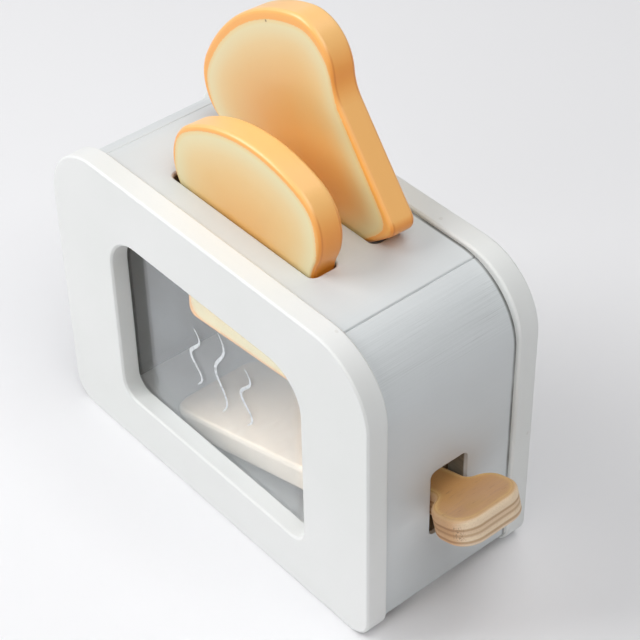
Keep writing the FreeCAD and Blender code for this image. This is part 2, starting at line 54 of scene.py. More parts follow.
# %% A socket that can be used in sums
class Signal:
    """One value of a material: a socket of its node tree, or none at the start."""

    def __init__(self, tree, socket=None):
        self.tree = tree
        self.socket = socket

    def node(self, kind, settings=None, inputs=None, output=0):
        made = self.tree.nodes.new(kind)
        for name, value in (settings or {}).items():
            if name == "stops":
                set_stops(made.color_ramp, value)
            else:
                setattr(made, name, value)
        for name, value in (inputs or {}).items():
            if isinstance(value, Signal):
                self.tree.links.new(value.socket, made.inputs[name])
            else:
                made.inputs[name].default_value = value
        return Signal(self.tree, made.outputs[output] if made.outputs else None)

    def math(self, operation, *others):
        values = dict(enumerate((self, *others)))
        return self.node("ShaderNodeMath", {"operation": operation}, values)

    def __add__(self, other):
        return self.math("ADD", other)

    def __radd__(self, other):
        return self.math("ADD", other)

    def __sub__(self, other):
        return self.math("SUBTRACT", other)

    def __rsub__(self, other):
        return self.math("MULTIPLY_ADD", -1, other)

    def __mul__(self, other):
        return self.math("MULTIPLY", other)

    def __rmul__(self, other):
        return self.math("MULTIPLY", other)

    def __truediv__(self, other):
        return self.math("DIVIDE", other)

    def __abs__(self):
        return self.math("ABSOLUTE")

    def most(self, other):
        return self.math("MAXIMUM", other)

    def fade(self, low, high):
        """0 below low, 1 above high, smooth between."""
        settings = {"interpolation_type": "SMOOTHSTEP"}
        return self.node("ShaderNodeMapRange", settings,
                         {"Value": self, "From Min": low, "From Max": high})


print("shader helper ready")

# %% [markdown]
# ## Ramps and blends
# A colour ramp needs more than values for its sockets: it holds a list of stops, which
# are set when it is made. Colours are joined by a Mix node and never by a Math node,
# because a Math node turns a colour into grey.

# %% Colour ramps and blends
def set_stops(ramp, stops):
    """Give a colour ramp its stops, a list of (position, colour)."""
    while len(ramp.elements) > 1:
        ramp.elements.remove(ramp.elements[-1])
    ramp.elements[0].position, ramp.elements[0].color = stops[0]
    for position, color in stops[1:]:
        ramp.elements.new(position).color = color


def blend_colors(amount, first, second, way="MIX"):
    """Colour from first (amount 0) to second (amount 1), or first tinted by second."""
    settings = {"data_type": "RGBA", "blend_type": way}
    inputs = {0: amount, 6: first, 7: second}
    return amount.node("ShaderNodeMix", settings, inputs, output=2)


print("blends ready")

# %% [markdown]
# ## Places on the surface
# Every pattern here is solid: it is worked out from the point's place in the piece, in
# metres, like grain that runs through a block. Images on an unwrapped mesh are the
# other way. A solid pattern needs no unwrapping, and it stays put when the piece moves,
# because an object's own coordinates move with it.

# %% Colours and coordinates
def rgb(red, green, blue):
    """Colour written as screen values 0 to 255, as Blender's linear colour."""
    linear = []
    for share in (red / 255, green / 255, blue / 255):
        bright = ((share + 0.055) / 1.055) ** 2.4
        linear.append(share / 12.92 if share <= 0.04045 else bright)
    return (*linear, 1.0)


def point_in(base):
    """The shaded point's place in its piece, in metres."""
    return base.node("ShaderNodeTexCoord", output="Object")


def axes_of(vector):
    """The three coordinates of a vector as separate values."""
    return [vector.node("ShaderNodeSeparateXYZ", None, {"Vector": vector}, output=i)
            for i in range(3)]


def stretched(vector, scale):
    """The point scaled differently along each axis, so that noise becomes streaks."""
    return vector.node("ShaderNodeMapping", None, {"Vector": vector, "Scale": scale})


print("white is", rgb(255, 255, 255))

# %% [markdown]
# ## From a pattern to a finish
# Noise gives the soft irregularity of real surfaces. One value of it can tint the
# colour, dull the shine and, through a Bump node, tilt the light. Every solid finish
# here ends in one Principled surface, so that it looks alike in other programs.

# %% Noise, bumps and the finish itself
def noise(vector, scale=1.0, detail=3.0, roughness=0.5):
    """Soft random value around 0.5."""
    inputs = {"Vector": vector, "Scale": scale, "Detail": detail, "Roughness": roughness}
    return vector.node("ShaderNodeTexNoise", None, inputs)


def bumped(height, depth, normal=None):
    """Surface normal of a height that varies by depth metres, over another normal."""
    inputs = {"Height": height, "Distance": depth}
    if normal is not None:
        inputs["Normal"] = normal
    return height.node("ShaderNodeBump", None, inputs)


def new_finish(name):
    """Empty material and the signal that its graph grows from."""
    material = bpy.data.materials.new(name)
    material.use_nodes = True
    material.node_tree.nodes.clear()
    return material, Signal(material.node_tree)


def close_finish(base, color, roughness, normal=None, **others):
    """Principled surface from the given values, joined to the material's output."""
    inputs = {"Base Color": color, "Roughness": roughness}
    for name, value in others.items():
        inputs[name.replace("_", " ")] = value
    if normal is not None:
        inputs["Normal"] = normal
    surface = base.node("ShaderNodeBsdfPrincipled", None, inputs)
    base.node("ShaderNodeOutputMaterial", None, {"Surface": surface})


print("finish helpers ready")

# %% [markdown]
# ## Where the case stands
# Some patterns follow the case: the dark primer inside it, partly painted shade, and the
# dark lines along its seams. They could be painted by hand. Here they are worked out from
# the boxes of the frame's pieces, so they lie exactly where the boards meet.

# %% Places of the case, from the frame
panel_low, panel_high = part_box("front_panel")
CASE_X = (panel_low.x + panel_high.x) / 2
PANEL_INSIDE = abs(panel_high.y)
CAVITY_HALF = 0.0842
CAVITY_TOP = 0.1280
print("case middle at x =", round(CASE_X, 5), "inner faces at y =", round(PANEL_INSIDE, 5))

# %% [markdown]
# ## Paint on the panels
# The two large panels are flat board, sprayed with a satin white paint. Real spray
# paint is never one even value: it has an orange peel finer than a millimetre, broad
# clouds where the coat is thicker, and a few dust nibs. The sanded edges could be
# rounded in the mesh, but a Bevel node rounds the light over them without a single face
# more. The faces that look into the case carry a thin grey primer, kept dark as painted
# shade for the inside of the case.

# %% White satin paint
EDGE_SOFTNESS = 0.0007


def soft_edges(base, radius=EDGE_SOFTNESS):
    """Normal that turns smoothly over sharp edges, as sandpaper leaves them."""
    return base.node("ShaderNodeBevel", {"samples": 6}, {"Radius": radius}, output="Normal")


def inside_case(x, y, z):
    """1 on the panels' faces that look into the case, within the arch, else 0."""
    inner_face = abs(y).fade(PANEL_INSIDE + 0.0005, PANEL_INSIDE + 0.0001)
    within_arch = abs(x - CASE_X).fade(CAVITY_HALF, CAVITY_HALF - 0.0007)
    return inner_face * within_arch * z.fade(CAVITY_TOP, CAVITY_TOP - 0.0008)


def white_paint():
    material, base = new_finish("white satin paint")
    point = point_in(base)
    x, y, z = axes_of(point)
    clouds = noise(point, 16, detail=4).fade(0.3, 0.7)
    peel = noise(point, 850, detail=2)
    nibs = noise(point, 240, detail=0).fade(0.84, 0.87)
    color = blend_colors(clouds, rgb(231, 233, 231), rgb(235, 236, 235))
    color = blend_colors(0.3 * nibs, color, rgb(205, 203, 196))
    inside = inside_case(x, y, z)
    # The primer's dark grey is partly painted shade for the inside of the case.
    primer_and_shade = blend_colors(clouds, rgb(130, 134, 137), rgb(140, 144, 146))
    color = blend_colors(inside, color, primer_and_shade)
    roughness = 0.34 + 0.12 * clouds + 0.08 * peel + 0.3 * inside
    normal = bumped(peel + nibs, 0.00003, soft_edges(base))
    close_finish(base, color, roughness, normal)
    return material


WHITE_PAINT = white_paint()
print("white paint nodes:", len(WHITE_PAINT.node_tree.nodes))

# %% [markdown]
# ## Where the boards' paint stops
# The arch of three boards is painted on its outer face only. At the cuts and inner
# faces brown wood shows, kept dark as painted shade. The faces could be given two
# materials, but then the border is as coarse as the mesh. So one material measures how
# deep a point lies below the arch's surface, as the distance to the edge of a rounded
# rectangle.

# %% Depth below the arch's surface
BEND_RADIUS = 0.031
SEAM_FROM_MIDDLE = 0.0713
PAINT_REACH = (0.0013, 0.0022)
ARCH_HALF = (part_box("right_side")[1].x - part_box("left_side")[0].x) / 2
arch_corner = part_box("top_board")[1]
ARCH_END, ARCH_TOP = arch_corner.y, arch_corner.z


def depth_in_arch(x, z):
    """How far a point is below the arch's outer surface, bends included."""
    across = abs(x - CASE_X) - (ARCH_HALF - BEND_RADIUS)
    above = z - (ARCH_TOP - BEND_RADIUS)
    corner = across.most(0) * across.most(0) + above.most(0) * above.most(0)
    flat = across.most(above).math("MINIMUM", 0)
    return BEND_RADIUS - corner.math("SQRT") - flat


print("arch: half width", round(ARCH_HALF, 4), "top", round(ARCH_TOP, 4))

# %% [markdown]
# ## Paint on the boards between the panels
# The arch is solid wood under light-grey paint. The grain was planed over the bends, so
# the paint shows fine lines that run from front to back there. The same streaks are
# weaker on the flats. Noise stretched in that direction makes them, and a face that
# leans half up and half sideways is a bend. A dark line lies where the arch meets the
# panels, and a fainter one in the grooves between its boards.

# %% Light-grey paint over wood
def bare_wood_with_painted_shade(point, x):
    """Brown of bare board with grain along the toy, darkened as painted shade, most at the
    left.
    """
    grain = noise(stretched(point, (30, 420, 420)), detail=4, roughness=0.65)
    brown = blend_colors(grain.fade(0.3, 0.7), rgb(88, 82, 70), rgb(120, 111, 95))
    # Painted shade: the inside of the left board is darkest.
    return blend_colors((CASE_X - x).fade(0.07, 0.08), brown, rgb(64, 60, 52))


def dark_joint_lines(color, patches, x, y, z):
    """Colour with a dark line in the grooves between the boards and along both panels."""
    seam = abs(abs(x - CASE_X) - SEAM_FROM_MIDDLE).fade(0.0006, 0.0001) * z.fade(0.12, 0.13)
    at_back = y.fade(ARCH_END - 0.0016, ARCH_END - 0.0006)
    at_front = y.fade(0.0006 - ARCH_END, 0.0001 - ARCH_END)
    color = blend_colors(0.4 * patches * seam, color, rgb(136, 136, 132))
    joint_darkness = (0.6 + 0.3 * patches) * at_back.most(at_front)
    return blend_colors(joint_darkness, color, rgb(86, 86, 82))


def grey_paint():
    material, base = new_finish("light grey paint")
    point = point_in(base)
    x, y, z = axes_of(point)
    inside = depth_in_arch(x, z).fade(*PAINT_REACH)
    facing = axes_of(base.node("ShaderNodeTexCoord", output="Normal"))
    bend = abs(2 * facing[0] * facing[2])
    clouds = noise(point, 22, detail=4).fade(0.3, 0.7)
    streaks = noise(stretched(point, (2600, 30, 2600)), detail=3, roughness=0.6)
    hairs = noise(stretched(point, (3000, 160, 3000)), detail=2)
    peel = noise(point, 700, detail=2)
    patches = noise(stretched(point, (60, 30, 60)), detail=2).fade(0.35, 0.65)
    lines = (streaks - 0.5) * (0.15 + (0.5 + 0.7 * patches) * bend.fade(0.45, 0.95))
    color = blend_colors(clouds, rgb(202, 207, 208), rgb(207, 211, 212))
    color = blend_colors((0.5 + 1.6 * lines).fade(0.0, 1.0), color, rgb(217, 221, 223))
    color = blend_colors(lines.fade(-0.05, -0.55), color, rgb(168, 171, 172))
    color = dark_joint_lines(color, patches, x, y, z)
    color = blend_colors(inside, color, bare_wood_with_painted_shade(point, x))
    roughness = 0.40 + 0.10 * clouds + 0.2 * lines + 0.3 * inside
    height = 1.4 * lines + 0.4 * hairs * bend + 0.35 * peel
    normal = bumped(height, 0.00006, soft_edges(base))
    close_finish(base, color, roughness, normal, Coat_Weight=0.3, Coat_Roughness=0.35)
    return material


GREY_PAINT = grey_paint()
print("grey paint nodes:", len(GREY_PAINT.node_tree.nodes))

# %% [markdown]
# ## The window
# The pane is clear acrylic, 2 mm thick. It could be plain glass, but glass in a path
# tracer keeps the lamps out of what is behind it. So rays that look for a lamp meet a
# plain transparent surface instead. A thin milky film lies on it as a painted
# reflection, clouded, and absent near its ends.

# %% Clear acrylic
VEIL_MARGIN = (0.012, 0.020)


def clear_acrylic():
    material, base = new_finish("clear acrylic")
    point = point_in(base)
    haze = noise(point, 35, detail=5).fade(0.35, 0.75)
    along = axes_of(point)[0]
    low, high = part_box("window_pane")
    from_end = (along - low.x).math("MINIMUM", high.x - along)
    # Painted reflection: a milky film over the pane, absent near its ends.
    painted_veil = from_end.fade(*VEIL_MARGIN) * (0.08 + 0.04 * haze)
    inputs = {"Base Color": rgb(252, 254, 254), "Roughness": 0.01 + 0.03 * haze,
              "IOR": 1.49, "Transmission Weight": 1.0}
    glass = base.node("ShaderNodeBsdfPrincipled", None, inputs)
    reflection_film = base.node("ShaderNodeBsdfPrincipled", None,
                     {"Base Color": rgb(222, 230, 236), "Roughness": 0.7})
    glass = base.node("ShaderNodeMixShader", None, {0: painted_veil, 1: glass, 2: reflection_film})
    open_way = base.node("ShaderNodeBsdfTransparent", None,
                         {"Color": (0.96, 0.97, 0.97, 1)})
    to_lamp = base.node("ShaderNodeLightPath", output="Is Shadow Ray")
    surface = base.node("ShaderNodeMixShader", None, {0: to_lamp, 1: glass, 2: open_way})
    base.node("ShaderNodeOutputMaterial", None, {"Surface": surface})
    return material


CLEAR_ACRYLIC = clear_acrylic()
print("acrylic nodes:", len(CLEAR_ACRYLIC.node_tree.nodes))

# %% [markdown]
# ## The lever's plywood
# The lever is cut from one sheet of plywood and lies tilted about its rod. Which layer
# a point is in, and how far it is along the knob, follow from its place in the sheet. A
# flat board could be textured first and turned afterwards. The frame holds it tilted
# already, so the point itself is moved into the board's own directions.

# %% The board's own directions
LEVER_TILT = math.radians(17.5)
LEVER_PIVOT = (CASE_X + 0.0717, 0.0, 0.0442)
HALF_BOARD = 6.0


def in_own_frame(point, origin, turn):
    """Point in a tilted piece's own directions, in millimetres."""
    settings = {"vector_type": "TEXTURE"}
    inputs = {"Vector": point, "Location": origin, "Rotation": turn,
              "Scale": (0.001, 0.001, 0.001)}
    return point.node("ShaderNodeMapping", settings, inputs)


def agreement(first, second):
    """Dot product of two directions: 1 where they are the same."""
    return first.node("ShaderNodeVectorMath", {"operation": "DOT_PRODUCT"},
                      {0: first, 1: second}, output="Value")


print("lever tilted by", round(math.degrees(LEVER_TILT), 1), "degrees")

# %% [markdown]
# ## Layers on its rim
# Sanding rounded the sheet's edge, so the rim shows the layers as bands. Each could be
# a thin board of its own. A ramp over the height across the sheet gives the same bands
# with soft borders. They are pale at the knob's end, and stained and specked beside it.

# %% Layers on the lever's rim
PLIES = [(0.00, rgb(242, 226, 200)), (0.13, rgb(248, 232, 208)), (0.19, rgb(204, 174, 140)),
         (0.24, rgb(206, 176, 142)), (0.28, rgb(246, 230, 204)), (0.38, rgb(242, 224, 196)),
         (0.45, rgb(208, 178, 144)), (0.49, rgb(210, 182, 150)), (0.53, rgb(236, 214, 184)),
         (0.61, rgb(230, 206, 176)), (0.65, rgb(198, 166, 132)), (0.69, rgb(204, 174, 140)),
         (0.73, rgb(246, 228, 200)), (1.00, rgb(246, 228, 200))]


def layered_rim(base, board, height, speckle):
    """Layers across the rim: pale at the knob's end, stained and specked beside it."""
    outward = base.node("ShaderNodeTexCoord", output="Normal")
    end_direction = (math.cos(LEVER_TILT), 0, math.sin(LEVER_TILT))
    to_end = agreement(outward, end_direction).fade(0.2, 0.8)
    wobble = noise(stretched(board, (0.05, 0.05, 0.3)), detail=2) - 0.5
    layer = (height + 0.5 * wobble + HALF_BOARD) / (2 * HALF_BOARD)
    plies = layer.node("ShaderNodeValToRGB", {"stops": PLIES}, {"Fac": layer})
    stained = blend_colors(1 - 0.75 * to_end, plies, rgb(226, 196, 168), way="MULTIPLY")
    corner = to_end * (1 - to_end) * abs(height - 0.5).fade(3.4, 2.4)
    return blend_colors((0.12 + 3.0 * corner) * speckle, stained, rgb(150, 118, 88))


print("plies:", len(PLIES), "stops")

# %% [markdown]
# ## The knob's handled face
# Many hands turned the knob brown. It is rubbed yellow beside its edges. Towards the
# hole it turns more orange, and darker as painted shade from the hole. A mask for the
# edges could be painted. A Bevel node finds them as well, because its normal turns away
# from the flat face there.

# %% The knob's handled face
RUBBED_MARGIN = 0.0050


def near_edge(base, reach):
    """1 beside an edge, 0 further from it than reach, in metres."""
    rounded = base.node("ShaderNodeBevel", {"samples": 12}, {"Radius": reach},
                        output="Normal")
    flat = base.node("ShaderNodeNewGeometry", output="True Normal")
    return agreement(rounded, flat).fade(0.9995, 0.965)


def handled_face(base, board, fibres, pores):
    """Brown of touched wood: orange at the neck, painted shade at the hole, yellow beside
    edges.
    """
    along, _, height = axes_of(board)
    blotches = noise(stretched(board, (0.06, 0.05, 0.1)), detail=3).fade(0.35, 0.65)
    worn = blend_colors(blotches, rgb(204, 160, 106), rgb(200, 156, 120))
    worn = blend_colors(0.6 * fibres, worn, rgb(214, 170, 122))
    worn = blend_colors(0.75 * along.fade(44, 28), worn, rgb(208, 154, 88))
    # Painted shade: darker towards the hole in the case.
    worn = blend_colors(0.45 * along.fade(31, 22), worn, rgb(140, 90, 40))
    worn = blend_colors(0.8 * near_edge(base, RUBBED_MARGIN), worn, rgb(222, 186, 126))
    worn = blend_colors(abs(height).fade(5.99, 5.3), worn, rgb(222, 190, 146))
    return blend_colors(0.5 * pores, worn, rgb(140, 96, 62))


print("rubbed margin:", RUBBED_MARGIN * 1000, "mm")

# %% [markdown]
# ## The whole board
# Three looks meet on this board: pale wood on the platform inside the case, handled
# wood on the knob, and the rim around both. One material for each would end in hard
# borders, so one graph blends them by the place along the board and by the height over
# its middle.

# %% Birch plywood
def plywood():
    material, base = new_finish("birch plywood")
    board = in_own_frame(point_in(base), LEVER_PIVOT, (0.0, -LEVER_TILT, 0.0))
    along, _, height = axes_of(board)
    speckle = noise(stretched(board, (1.7, 1.7, 1.7)), detail=2).fade(0.46, 0.66)
    pores = noise(stretched(board, (2.2, 0.16, 1.2)), detail=3, roughness=0.7)
    pores = pores.fade(0.60, 0.72)
    fibres = noise(stretched(board, (0.7, 0.06, 0.5)), detail=4, roughness=0.6)
    fibres = fibres.fade(0.3, 0.7)
    handled = along.fade(-14, 8)
    rim = layered_rim(base, board, height, speckle)
    rim = blend_colors(handled, rgb(222, 209, 194), rim)
    pale = blend_colors(fibres, rgb(246, 227, 206), rgb(253, 237, 219))
    top = blend_colors(handled, pale, handled_face(base, board, fibres, pores))
    color = blend_colors(abs(height).fade(5.1, 5.97), rim, top)
    bumps = bumped(pores + 0.6 * speckle, 0.00006, soft_edges(base, 0.0012))
    close_finish(base, color, 0.50 + 0.16 * fibres, bumps)
    return material


PLYWOOD = plywood()
print("plywood nodes:", len(PLYWOOD.node_tree.nodes))

# %% [markdown]
# ## The bread slices
# Both slices are boards with the outline of bread, and the airbrush followed that
# outline. Their colour is thus a pattern of distance from the edge. An image could hold
# it, but it would be tied to one size. The shader measures the distance itself: the
# least one to the base, to either side and to the crown's arc, with soft corners
# between them.

# %% Distance from a slice's outline
WAIST_HALF, SHOULDER_HALF = 39.3, 43.7
CROWN_CENTRE, CROWN_RADIUS = 25, 72
CORNER_BLEND = 12.0


def outline_distance(u, w):
    """Distance in millimetres from the slice's edge, for a point right u and up w."""
    half_width = WAIST_HALF + (SHOULDER_HALF - WAIST_HALF) * w.fade(50, 68)
    side = half_width - abs(u)
    reach = u * u + (w - CROWN_CENTRE) * (w - CROWN_CENTRE)
    crown = CROWN_RADIUS - reach.math("SQRT")
    nearest = side.math("SMOOTH_MIN", crown, CORNER_BLEND)
    return nearest.math("SMOOTH_MIN", w, CORNER_BLEND)


print("slice half widths:", WAIST_HALF, SHOULDER_HALF)

# %% [markdown]
# ## Airbrushed colours
# The crust colour runs over the rim, then comes a cream border that fades to toasted
# brown in the middle. Lower down it turns more orange and brighter, as painted bounce
# light between the slices. One ramp over the distance holds the airbrushed colours, and
# spray noise keeps its borders soft. The rim is orange, and paler on top as a painted
# sheen.
# A darker orange line runs along its edges, fading where they face up.

# %% Sprayed face and orange rim
TOAST = [(0.0, rgb(252, 182, 92)), (0.046, rgb(252, 176, 84)), (0.056, rgb(240, 212, 152)),
         (0.10, rgb(236, 222, 176)), (0.16, rgb(236, 218, 169)), (0.27, rgb(238, 208, 150)),
         (0.45, rgb(238, 198, 132)), (0.80, rgb(239, 186, 112))]
TOASTED_DEPTH = 40
PAINTED_BOUNCE_LIFT = (1.17, 1.14, 1.0, 1)
EDGE_LINE = 4.5


def sprayed_face(point, u, w, spray, crown_band, side_band, glow):
    """Crust, cream and toasted brown by distance from the outline, with painted bounce
    light lower down.
    """
    grains = noise(point, 1500, detail=1) - 0.5
    inward = outline_distance(u, w) - crown_band * w.fade(66, 88)
    inward = inward - side_band * u.fade(15, 35)
    toasted = (inward + 5 * spray * inward.fade(3, 25) + 0.7 * grains) / TOASTED_DEPTH
    color = toasted.node("ShaderNodeValToRGB", {"stops": TOAST}, {"Fac": toasted})
    # Painted bounce light: lower down the face turns more orange and is lifted brighter.
    low = w.fade(70, 20)
    color = blend_colors(glow * low * inward.fade(5, 20), color, rgb(250, 178, 90))
    return blend_colors(glow * low, color, PAINTED_BOUNCE_LIFT, way="MULTIPLY")


def crust_paint(base, depth):
    """Orange of the rim, paler on top as a painted sheen, with a darker line along both
    edges.
    """
    upward = axes_of(base.node("ShaderNodeTexCoord", output="Normal"))[2].fade(0.05, 0.9)
    dark_edge_line = abs(abs(depth) - EDGE_LINE).fade(0.6, 0.1) * upward.fade(0.9, 0.4)
    # Painted sheen: the rim is paler where it faces up.
    paint = blend_colors(upward, rgb(255, 162, 58), rgb(255, 198, 118))
    return blend_colors(0.45 * dark_edge_line, paint, rgb(214, 112, 30))


print("toast stops:", len(TOAST))

# %% [markdown]
# ## Two slices from one recipe
# Each slice stands tilted in its slot, so its colours are worked out in its own
# directions. Two graphs could be built one after the other. One function with a few
# settings makes both instead, so that they stay alike and differ only in where they
# stand, how they were sprayed and how much painted bounce light they get. Play left one
# small knock on each face.

# %% Painted toast
def painted_toast(name, origin, lean, tilt, crown_band, side_band, glow, knock):
    material, base = new_finish(name)
    turn = (Matrix.Rotation(-lean, 3, "X") @ Matrix.Rotation(-tilt, 3, "Y")).to_euler()
    point = point_in(base)
    u, depth, w = axes_of(in_own_frame(point, origin, turn))
    spray = noise(point, 60, detail=4) - 0.5
    color = sprayed_face(point, u, w, spray, crown_band, side_band, glow)
    crust = abs(depth).fade(5.9, 5.5)
    color = blend_colors(crust, color, crust_paint(base, depth))
    off_u, off_w = u - knock[0], w - knock[1]
    dent = (off_u * off_u + off_w * off_w).fade(0.45, 0.1) * (1 - crust)
    color = blend_colors(0.7 * dent, color, rgb(120, 84, 54))
    roughness = 0.42 + 0.12 * spray - 0.08 * crust
    peel = noise(point, 600, detail=2) - 4 * dent
    normal = bumped(peel, 0.00004, soft_edges(base, 0.0010))
    close_finish(base, color, roughness, normal, Coat_Weight=0.4, Coat_Roughness=0.32)
    return material


SLOT_FROM_MIDDLE = 15
BOARD_MIDDLE = 133.0


def slice_origin(side, shift, height, lean):
    """Middle of a slice's base, where the slot holds the slice halfway down the board."""
    back = side * SLOT_FROM_MIDDLE - (BOARD_MIDDLE - height) * math.tan(lean)
    return (CASE_X + shift / 1000, back / 1000, height / 1000)


FRONT_LEAN, FRONT_TILT = math.radians(3.0), math.radians(4.7)
BACK_LEAN, BACK_TILT = math.radians(2.9), math.radians(38.8)
FRONT_TOAST = painted_toast("front toast", slice_origin(-1, 7.2, 78.7, FRONT_LEAN),
                            FRONT_LEAN, FRONT_TILT, crown_band=0.2, side_band=0.0,
                            glow=0.3, knock=(-12.0, 24.0))
BACK_TOAST = painted_toast("back toast", slice_origin(1, 21.7, 121.9, BACK_LEAN),
                           BACK_LEAN, BACK_TILT, crown_band=2.0, side_band=0.5,
                           glow=0.55, knock=(16.3, 90.3))
print("toast nodes:", len(FRONT_TOAST.node_tree.nodes), len(BACK_TOAST.node_tree.nodes))

# %% [markdown]
# ## The print on the window
# The pane carries a small white screen print. Ink lies on the sheet as a film with tiny
# gaps. It could be a pattern in the pane's own material. A thin piece of its own keeps
# its edges crisp, however near it is looked at, and casts its own faint shadow.

# %% Screen ink, and a helper for new pieces
def white_ink():
    material, base = new_finish("white screen ink")
    mottle = noise(point_in(base), 1400, detail=3)
    color = blend_colors(mottle, rgb(214, 218, 222), rgb(232, 235, 238))
    close_finish(base, color, 0.5 + 0.2 * mottle, Alpha=mottle.fade(0.2, 0.5))
    return material


def add_piece(name, corners, faces, material):
    """New object of one mesh and one material, in the scene."""
    mesh = bpy.data.meshes.new(name)
    mesh.from_pydata(corners, [], faces)
    mesh.update()
    piece = bpy.data.objects.new(name, mesh)
    bpy.context.scene.collection.objects.link(piece)
    piece.data.materials.append(material)
    return piece


WHITE_INK = white_ink()
print("ink nodes:", len(WHITE_INK.node_tree.nodes))

# %% [markdown]
# ## Three rising waves
# Three plain waves stand for warm air. Each is a thin strip that follows a centre line
# and narrows towards its ends, like a brush stroke. A curve could be widened and
# converted. A loop that sets the corners of each step gives a closed film with few
# faces.

# %% Three waves of ink
INK_FILM = 0.00004
STROKE_WIDTH = 0.0016
STROKE_STEPS = 56
WAVE_SWAY = 0.0032
WAVE_TURNS = 1.5
WAVES = ((-0.016, 0.054, 0.084), (0.0, 0.050, 0.092), (0.016, 0.054, 0.084))


def stroke(middle, low, high):
    """Corners and faces of one strip of ink on the pane, from height low to high."""
    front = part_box("window_pane")[0].y
    corners, faces = [], []
    for step in range(STROKE_STEPS + 1):
        share = step / STROKE_STEPS
        angle = 2 * math.pi * WAVE_TURNS * share
        slope = 2 * math.pi * WAVE_TURNS * WAVE_SWAY * math.cos(angle) / (high - low)
        half = STROKE_WIDTH / 2 * (0.15 + 0.85 * math.sin(math.pi * share) ** 0.6)
        side = Vector((1, 0, -slope)).normalized() * half
        centre = Vector((CASE_X + middle + WAVE_SWAY * math.sin(angle), 0,
                         low + (high - low) * share))
        for y in (front, front - INK_FILM):
            for place in (centre - side, centre + side):
                corners.append((place.x, y, place.z))
        if step:
            a = 4 * step - 4
            b = a + 4
            faces += [(a, b, b + 2, a + 2), (a + 2, b + 2, b + 3, a + 3),
                      (a + 3, b + 3, b + 1, a + 1), (a + 1, b + 1, b, a)]
    faces += [(0, 2, 3, 1), (b, b + 1, b + 3, b + 2)]
    return corners, faces


ink_corners, ink_faces = [], []
for wave in WAVES:
    corners, faces = stroke(*wave)
    start = len(ink_corners)
    ink_corners += corners
    ink_faces += [tuple(start + i for i in face) for face in faces]
pane_print = add_piece("pane_print", ink_corners, ink_faces, WHITE_INK)
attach(pane_print, "case")
print("ink faces:", len(ink_faces))

# %% [markdown]
# ## The strip under the left board
# The side boards end above the table. Under the left one a low strip closes the gap, so
# no light comes in there. It is a bar with rounded long edges and bevelled ends. A box
# with a Bevel modifier would round every edge alike, so instead one rounded outline is
# set at four places along the bar, a little smaller at both ends.

# %% A bar with rounded edges
STRIP_LENGTH = 0.0642
STRIP_WIDTH = 0.0090
STRIP_SET_BACK = 0.0005
STRIP_CLEARANCE = 0.0004
STRIP_ROUNDING = 0.0011
STRIP_BEVEL = 0.0006
CORNER_STEPS = 4


def rounded_outline(width, height, radius):
    """Corner points of a rounded rectangle around its middle."""
    points = []
    for corner, (sign_x, sign_z) in enumerate(((1, 1), (-1, 1), (-1, -1), (1, -1))):
        for step in range(CORNER_STEPS + 1):
            angle = math.pi / 2 * (corner + step / CORNER_STEPS)
            points.append((sign_x * (width / 2 - radius) + radius * math.cos(angle),
                           sign_z * (height / 2 - radius) + radius * math.sin(angle)))
    return points


def rounded_bar(low, high):
    """Corners and faces of a bar along y between two corners of its box."""
    width, height = high.x - low.x, high.z - low.z
    middle = (low + high) / 2
    places = ((low.y, STRIP_BEVEL), (low.y + STRIP_BEVEL, 0),
              (high.y - STRIP_BEVEL, 0), (high.y, STRIP_BEVEL))
    corners, faces = [], []
    for y, inset in places:
        ring = rounded_outline(width - 2 * inset, height - 2 * inset,
                               STRIP_ROUNDING - inset / 2)
        corners += [(middle.x + x, y, middle.z + z) for x, z in ring]
    count = len(corners) // len(places)
    for ring in range(len(places) - 1):
        for i in range(count):
            a, b = ring * count + i, ring * count + (i + 1) % count
            faces.append((a, b, b + count, a + count))
    last = len(corners) - count
    faces += [tuple(range(count)), tuple(range(len(corners) - 1, last - 1, -1))]
    return corners, faces


board_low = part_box("left_side")[0]
strip_low = Vector((board_low.x + STRIP_SET_BACK, -STRIP_LENGTH / 2, STRIP_CLEARANCE))
strip_high = Vector((strip_low.x + STRIP_WIDTH, STRIP_LENGTH / 2, board_low.z))
left_strip = add_piece("left_strip", *rounded_bar(strip_low, strip_high), GREY_PAINT)
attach(left_strip, "case")
print("strip faces:", len(left_strip.data.polygons))

# %% [markdown]
# ## Parts that hold it together
# The rod is drawn steel with fine lines around it. Sleeves and dowels are turned beech,
# with short dark flecks along the grain. Plain colours would do at rest, where they are
# hidden, but a part is looked at from every side, also from below. Stretched noise
# makes both grains.

# %% Steel rod and beech
def drawn_steel():
    material, base = new_finish("drawn steel")
    point = point_in(base)
    lines = noise(stretched(point, (60, 2400, 60)), detail=2)
    color = blend_colors(lines, rgb(176, 178, 181), rgb(196, 198, 200))
    roughness = 0.24 + 0.14 * lines
    close_finish(base, color, roughness, bumped(lines, 0.00001), Metallic=1.0)
    return material


def turned_beech():
    material, base = new_finish("turned beech")
    point = point_in(base)
    grain = noise(stretched(point, (260, 22, 260)), detail=4)
    flecks = noise(stretched(point, (1500, 160, 1500)), detail=1).fade(0.66, 0.74)
    color = blend_colors(grain, rgb(206, 170, 130), rgb(224, 192, 152))
    color = blend_colors(0.6 * flecks, color, rgb(158, 112, 78))
    roughness = 0.55 + 0.15 * grain
    close_finish(base, color, roughness, bumped(grain - 0.5 * flecks, 0.00004))
    return material


STEEL = drawn_steel()
BEECH = turned_beech()
print("steel and beech nodes:", len(STEEL.node_tree.nodes), len(BEECH.node_tree.nodes))

# %% [markdown]
# ## Finishes on the pieces
# Each piece of the frame takes one finish. They could be set piece by piece, but one
# list shows at a glance what is made of what, and the count tells if a piece was
# forgotten.

